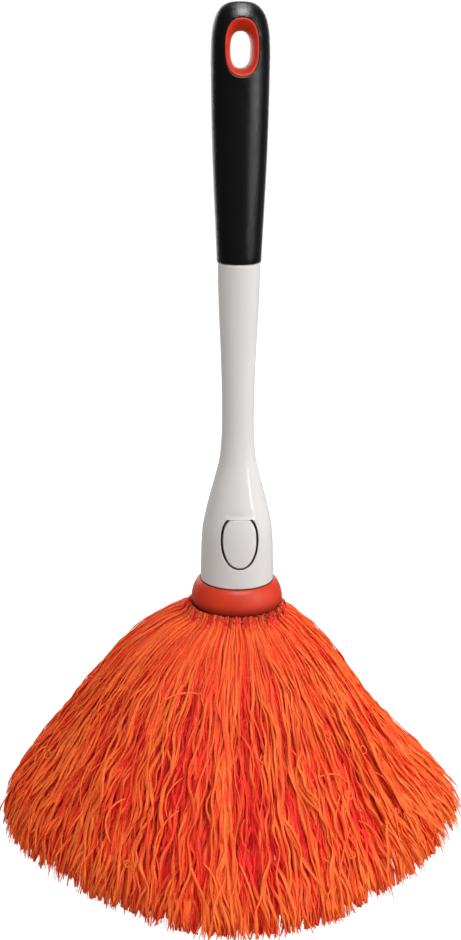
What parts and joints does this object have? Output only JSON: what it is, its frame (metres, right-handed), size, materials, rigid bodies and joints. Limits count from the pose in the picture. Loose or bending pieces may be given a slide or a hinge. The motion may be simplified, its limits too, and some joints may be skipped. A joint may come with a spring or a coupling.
{
  "type": "hand duster",
  "caption": "Hand duster: microfibre strands on a head that pulls off, white bell-ended shaft, black grip with a hang hole.",
  "frame": {"origin": "on the surface that the strand tips stand on, under the middle of the object", "axes": "+Z along the handle towards the hang hole, -Y towards the front with the release button"},
  "size_m": [0.234, 0.234, 0.4],
  "materials": {
    "black_rubber": "satin",
    "core_plastic": "matte",
    "orange_plastic": "satin",
    "white_plastic": "gloss",
    "inner_plastic": "satin",
    "header_tape": "matte",
    "microfibre": "matte",
    "screw_steel": "satin"
  },
  "bodies": {
    "handle": {"grip_sleeve": "black_rubber", "grip_core": "core_plastic", "hang_hole_liner": "orange_plastic", "shaft_shell": "white_plastic", "socket_sleeve": "inner_plastic"},
    "button": {"release_button": "white_plastic"},
    "head": {"head_hub": "inner_plastic", "latch_finger": "inner_plastic", "collar_ring": "orange_plastic", "clamp_plate": "inner_plastic", "clamp_screw": "screw_steel", "header_band_outer": "header_tape", "header_band_middle": "header_tape", "header_band_inner": "header_tape", "strands_outer": "microfibre", "strands_middle": "microfibre", "strands_inner": "microfibre"}
  },
  "joints": [
    {"name": "handle_lift", "type": "slide", "parent": "head", "child": "handle", "axis": [0, 0, 1], "range_m": [0, 0.06], "deforming": ["latch_finger"]},
    {"name": "button_press", "type": "hinge", "parent": "handle", "child": "button", "pos_m": [0, -0.0146, 0.1648], "axis": [1, 0, 0], "range_deg": [0, 6.5], "stiffness_Nm_per_rad": 0.05}
  ]
}
